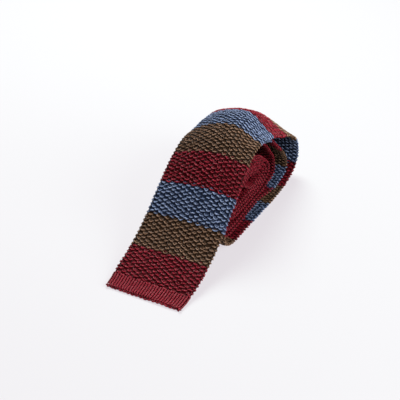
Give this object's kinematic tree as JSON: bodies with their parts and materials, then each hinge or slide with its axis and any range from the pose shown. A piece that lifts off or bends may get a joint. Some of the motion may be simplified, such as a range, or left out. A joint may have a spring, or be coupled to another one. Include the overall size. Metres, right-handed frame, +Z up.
{
  "type": "rolled knitted silk necktie",
  "caption": "Broad-striped moss-knit necktie with a square ribbed hem, rolled up from its narrow end and lying on its roll with the wide end laid out in front.",
  "frame": {"origin": "on the ground, under the middle of the rolled tie", "axes": "+Z up; +X across the tie; -Y from the roll towards the hem of the wide end"},
  "size_m": [0.063, 0.1888, 0.0713],
  "materials": {
    "burgundy_knit": "burgundy silk yarn in moss stitch, soft sheen on each loop",
    "olive_knit": "olive brown silk yarn in moss stitch, soft sheen on each loop",
    "blue_knit": "dusty blue silk yarn in moss stitch, soft sheen on each loop"
  },
  "bodies": {
    "root": {"hem_band": "burgundy_knit", "stripe_01_burgundy": "burgundy_knit", "stripe_02_olive": "olive_knit", "stripe_03_blue": "blue_knit", "stripe_04_burgundy": "burgundy_knit", "stripe_05_olive": "olive_knit", "stripe_06_blue": "blue_knit", "stripe_07_burgundy": "burgundy_knit", "stripe_08_olive": "olive_knit", "stripe_09_blue": "blue_knit", "stripe_10_burgundy": "burgundy_knit", "stripe_11_olive": "olive_knit", "stripe_12_blue": "blue_knit", "stripe_13_burgundy": "burgundy_knit", "stripe_14_olive": "olive_knit", "stripe_15_blue": "blue_knit", "stripe_16_burgundy": "burgundy_knit", "stripe_17_olive": "olive_knit", "stripe_18_blue": "blue_knit", "stripe_19_burgundy": "burgundy_knit", "stripe_20_olive": "olive_knit", "stripe_21_blue": "blue_knit", "neck_band": "burgundy_knit", "tail_band": "burgundy_knit", "tail_hem": "burgundy_knit"}
  },
  "joints": []
}
